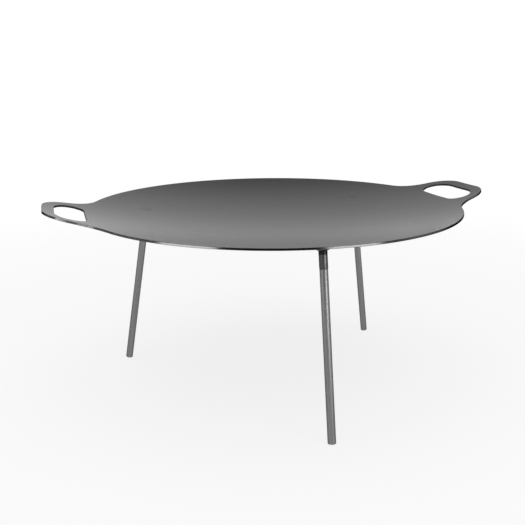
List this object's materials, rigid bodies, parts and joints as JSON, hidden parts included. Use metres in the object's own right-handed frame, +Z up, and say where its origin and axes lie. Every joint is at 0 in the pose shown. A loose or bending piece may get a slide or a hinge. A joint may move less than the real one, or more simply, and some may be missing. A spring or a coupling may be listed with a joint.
{
  "type": "camp griddle plate",
  "caption": "Shallow dished steel griddle with a slotted hand loop at each side, standing over a fire on splayed round legs that screw into welded sleeves.",
  "frame": {"origin": "on the ground, under the middle of the plate", "axes": "+X along the hand loops, -Y towards the front leg, +Z up"},
  "size_m": [0.672, 0.5599, 0.2856],
  "materials": {
    "plate_steel": "satin cold-rolled sheet, polished, with faint heat marks over the welds",
    "socket_steel": "dark turned steel, slightly glossy",
    "weld_steel": "rippled bead, dull grey",
    "leg_steel": "drawn rod with fine lengthwise streaks",
    "stud_steel": "bright cut thread"
  },
  "bodies": {
    "griddle": {"griddle_plate": "plate_steel", "leg_socket_front": "socket_steel", "leg_socket_left": "socket_steel", "leg_socket_right": "socket_steel", "socket_weld_front": "weld_steel", "socket_weld_left": "weld_steel", "socket_weld_right": "weld_steel"},
    "leg_front_stud": {"leg_stud_front": "stud_steel"},
    "leg_front": {"leg_rod_front": "leg_steel"},
    "leg_left_stud": {"leg_stud_left": "stud_steel"},
    "leg_left": {"leg_rod_left": "leg_steel"},
    "leg_right_stud": {"leg_stud_right": "stud_steel"},
    "leg_right": {"leg_rod_right": "leg_steel"}
  },
  "joints": [
    {"name": "leg_front_feed", "type": "slide", "parent": "griddle", "child": "leg_front_stud", "axis": [0, -0.1706, -0.9853], "range_m": [0, 0.02]},
    {"name": "leg_front_turn", "type": "hinge", "parent": "leg_front_stud", "child": "leg_front", "pos_m": [0, -0.21079, 0.22454], "axis": [0, -0.1706, -0.9853], "range_deg": [0, 5760]},
    {"name": "leg_left_feed", "type": "slide", "parent": "griddle", "child": "leg_left_stud", "axis": [-0.1478, 0.0853, -0.9853], "range_m": [0, 0.02]},
    {"name": "leg_left_turn", "type": "hinge", "parent": "leg_left_stud", "child": "leg_left", "pos_m": [-0.18255, 0.10539, 0.22454], "axis": [-0.1478, 0.0853, -0.9853], "range_deg": [0, 5760]},
    {"name": "leg_right_feed", "type": "slide", "parent": "griddle", "child": "leg_right_stud", "axis": [0.1478, 0.0853, -0.9853], "range_m": [0, 0.02]},
    {"name": "leg_right_turn", "type": "hinge", "parent": "leg_right_stud", "child": "leg_right", "pos_m": [0.18255, 0.10539, 0.22454], "axis": [0.1478, 0.0853, -0.9853], "range_deg": [0, 5760]}
  ],
  "couplings": [
    {"joint": "leg_front_turn", "follows": "leg_front_feed", "rad_per_m": 5026.5},
    {"joint": "leg_left_turn", "follows": "leg_left_feed", "rad_per_m": 5026.5},
    {"joint": "leg_right_turn", "follows": "leg_right_feed", "rad_per_m": 5026.5}
  ]
}
